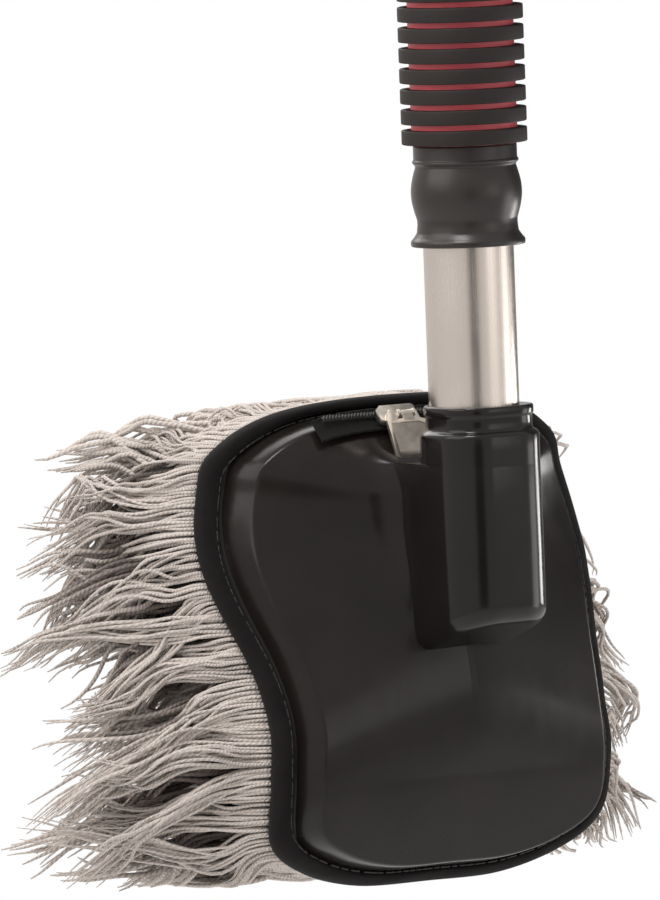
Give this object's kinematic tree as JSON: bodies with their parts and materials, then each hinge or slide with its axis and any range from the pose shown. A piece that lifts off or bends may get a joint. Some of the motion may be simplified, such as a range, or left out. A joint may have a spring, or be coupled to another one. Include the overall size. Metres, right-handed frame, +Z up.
{
  "type": "hand mop",
  "caption": "Hand mop with a domed plastic head, a zipped cotton strand cover and a telescopic steel handle with a twist lock and a ribbed grip.",
  "frame": {"origin": "centre of the hang hole in the end cap, on the handle's axis", "axes": "+Z up the handle, from the head to the grip; the head's glossy face looks along -Y; the strands point along +Y; +X is the head's width"},
  "size_m": [0.2264, 0.1334, 0.3803],
  "materials": {
    "grip_black": "matte",
    "grip_red": "satin",
    "cap_black": "satin",
    "collar_black": "satin",
    "steel_satin": "satin",
    "steel_hidden": "satin",
    "socket_gloss": "gloss",
    "shell_gloss": "gloss",
    "plastic_dark": "matte",
    "plastic_grey": "satin",
    "plastic_white": "satin",
    "screw_steel": "satin",
    "foam_grey": "matte",
    "backing_cloth": "matte",
    "binding_cloth": "matte",
    "zip_coil": "satin",
    "zip_silver": "satin",
    "cotton_grey": "matte"
  },
  "bodies": {
    "outer_handle": {"end_cap": "cap_black", "outer_tube": "steel_hidden", "grip_core": "grip_red", "lock_ferrule": "plastic_grey", "lock_collet": "plastic_white", "grip_ring_01": "grip_black", "grip_ring_02": "grip_black", "grip_ring_03": "grip_black", "grip_ring_04": "grip_black", "grip_ring_05": "grip_black", "grip_ring_06": "grip_black", "grip_ring_07": "grip_black", "grip_ring_08": "grip_black", "grip_ring_09": "grip_black", "grip_ring_10": "grip_black", "grip_ring_11": "grip_black", "grip_ring_12": "grip_black", "grip_ring_13": "grip_black", "grip_ring_14": "grip_black", "grip_ring_15": "grip_black", "grip_ring_16": "grip_black", "grip_ring_17": "grip_black", "grip_ring_18": "grip_black", "grip_ring_19": "grip_black", "grip_ring_20": "grip_black"},
    "collar": {"lock_collar": "collar_black", "wiper_ring": "plastic_dark"},
    "guide": {"guide_bush": "plastic_white"},
    "lower_stage": {"inner_tube": "steel_satin", "tube_plug": "plastic_dark", "tube_screw": "screw_steel", "handle_socket": "socket_gloss", "head_shell": "shell_gloss", "base_plate": "plastic_dark", "plate_screws": "screw_steel", "foam_pad": "foam_grey", "mop_backing": "backing_cloth", "cover_binding": "binding_cloth", "zip_tape": "binding_cloth", "zip_chain": "zip_coil", "strand_skirt": "cotton_grey", "strand_pile": "cotton_grey"},
    "zip_slider": {"zip_slider_body": "zip_silver"},
    "zip_pull": {"zip_pull_tab": "zip_silver"}
  },
  "joints": [
    {"name": "collar_twist", "type": "hinge", "parent": "outer_handle", "child": "collar", "pos_m": [0, 0, -0.1546], "axis": [0, 0, 1], "range_deg": [0, 120]},
    {"name": "telescope", "type": "slide", "parent": "outer_handle", "child": "guide", "axis": [0, 0, -1], "range_m": [-0.045, 0.05]},
    {"name": "head_swivel", "type": "hinge", "parent": "guide", "child": "lower_stage", "pos_m": [0, 0, -0.1616], "axis": [0, 0, 1], "continuous": true},
    {"name": "zip_slide", "type": "slide", "parent": "lower_stage", "child": "zip_slider", "axis": [-1, 0, 0], "range_m": [-0.0096, 0.017]},
    {"name": "pull_swing", "type": "hinge", "parent": "zip_slider", "child": "zip_pull", "pos_m": [-0.0062, 0.02696, -0.2207], "axis": [-1, 0, 0], "range_deg": [0, 14]}
  ]
}
